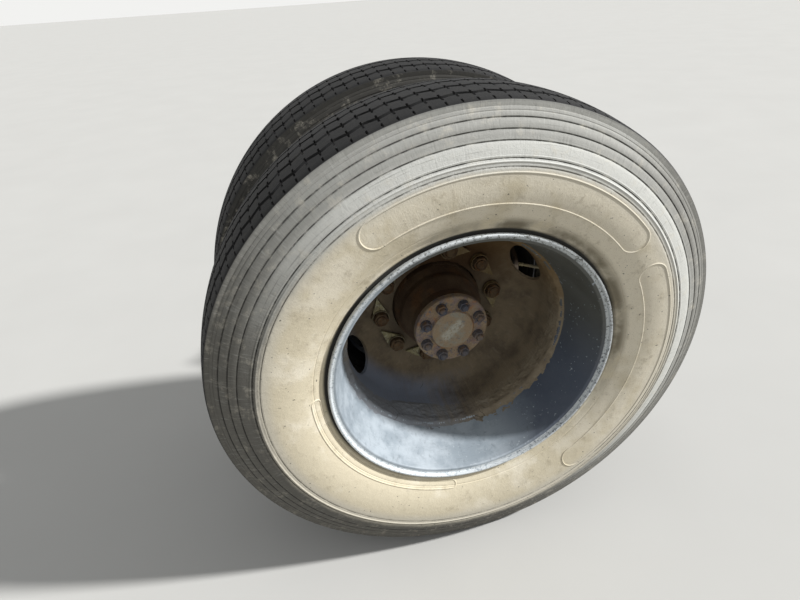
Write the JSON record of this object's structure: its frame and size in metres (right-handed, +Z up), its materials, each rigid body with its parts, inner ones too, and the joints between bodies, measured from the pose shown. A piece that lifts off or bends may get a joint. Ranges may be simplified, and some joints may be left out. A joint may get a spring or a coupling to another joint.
{
  "type": "bus rear dual wheel and hub",
  "caption": "Dual rear wheel of a bus with deep dished discs, hub, brake drum and drive flange, turning on its axle spindle beside an air brake chamber and slack adjuster.",
  "frame": {"origin": "centre of the spindle's mounting face, on the wheel axis", "axes": "+Y along the wheel axis towards the middle of the bus, -Y outboard, +X to the rear of the bus, +Z up"},
  "size_m": [1.0538, 1.2074, 1.054],
  "materials": {
    "wheel_steel": "painted steel, dusty",
    "disc_steel": "painted steel under dried mud",
    "tyre_rubber": "dusty tyre rubber",
    "hub_iron": "cast iron, dusty",
    "rusty_steel": "rusted steel",
    "shaft_steel": "forged and turned steel",
    "pointer_plastic": "faded yellow plastic",
    "drum_iron": "cast iron, rusted",
    "brake_paint": "black chassis paint",
    "shield_steel": "black painted sheet",
    "zinc_steel": "zinc plated steel",
    "chamber_aluminium": "cast aluminium"
  },
  "bodies": {
    "axle_end": {"spindle": "shaft_steel", "wheel_bearings": "shaft_steel", "brake_spider": "brake_paint", "dust_shield_upper": "shield_steel", "dust_shield_lower": "shield_steel", "cam_tube": "brake_paint", "camshaft": "shaft_steel", "slack_adjuster": "zinc_steel", "push_rod": "zinc_steel", "service_chamber": "brake_paint", "spring_chamber": "chamber_aluminium", "clamp_bands": "zinc_steel"},
    "wheel_set": {"outer_rim": "wheel_steel", "inner_rim": "wheel_steel", "outer_disc": "disc_steel", "inner_disc": "disc_steel", "outer_tyre": "tyre_rubber", "inner_tyre": "tyre_rubber", "hub": "hub_iron", "wheel_studs": "rusty_steel", "wheel_nuts": "rusty_steel", "nut_pointers": "pointer_plastic", "brake_drum": "drum_iron", "axle_shaft": "shaft_steel", "drive_studs": "rusty_steel"}
  },
  "joints": [
    {"name": "wheel_spin", "type": "hinge", "parent": "axle_end", "child": "wheel_set", "pos_m": [0, 0, 0], "axis": [0, 1, 0], "continuous": true}
  ]
}
